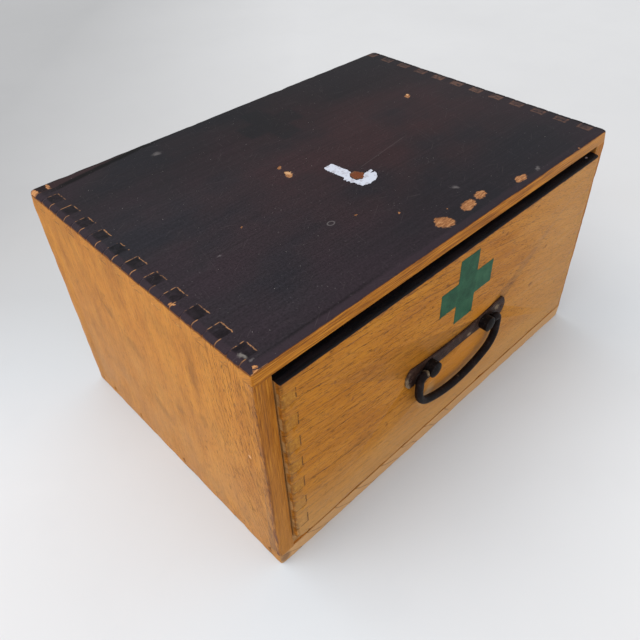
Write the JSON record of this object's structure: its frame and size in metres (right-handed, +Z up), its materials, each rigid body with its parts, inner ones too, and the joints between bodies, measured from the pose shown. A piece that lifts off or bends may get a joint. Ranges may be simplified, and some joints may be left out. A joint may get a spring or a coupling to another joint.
{
  "type": "wooden medicine box with a drawer",
  "caption": "Finger-jointed wooden medicine box, open at the front, with one deep drawer that slides out on two runners by an iron bail pull.",
  "frame": {"origin": "centre of the case's flat base, midway between its front and back faces", "axes": "+X to the right as seen from the drawer side, +Y from the drawer front to the back, +Z up"},
  "size_m": [0.36, 0.2649, 0.196],
  "materials": {
    "lacquered_wood": "brown-black lacquer, satin, chipped and dusty",
    "case_wood": "orange-brown varnish over an open-pored hardwood",
    "front_wood": "amber varnish over an open-pored hardwood",
    "drawer_wood": "bare planed wood, toned by age",
    "back_wood": "bare thin board, toned by age",
    "handle_iron": "brown-black forged iron, worn on its high spots",
    "bail_iron": "black forged iron wire, worn",
    "nail_steel": "dull old wire nails"
  },
  "bodies": {
    "case": {"case_top": "lacquered_wood", "case_bottom": "case_wood", "case_left_side": "case_wood", "case_right_side": "case_wood", "case_back": "back_wood", "case_back_nails": "nail_steel", "left_runner": "drawer_wood", "right_runner": "drawer_wood", "runner_nails": "nail_steel"},
    "drawer": {"drawer_front": "front_wood", "drawer_back": "drawer_wood", "drawer_left_side": "drawer_wood", "drawer_right_side": "drawer_wood", "drawer_bottom": "back_wood", "drawer_bottom_nails": "nail_steel", "handle_plate": "handle_iron", "handle_plate_nails": "handle_iron", "handle_left_post": "handle_iron", "handle_right_post": "handle_iron", "handle_left_washer": "handle_iron", "handle_right_washer": "handle_iron"},
    "bail": {"bail": "bail_iron"}
  },
  "joints": [
    {"name": "drawer_slide", "type": "slide", "parent": "case", "child": "drawer", "axis": [0, -1, 0], "range_m": [0, 0.205]},
    {"name": "bail_swing", "type": "hinge", "parent": "drawer", "child": "bail", "pos_m": [-0.0053, -0.1349, 0.0973], "axis": [-1, 0, 0], "range_deg": [-3, 183]}
  ]
}
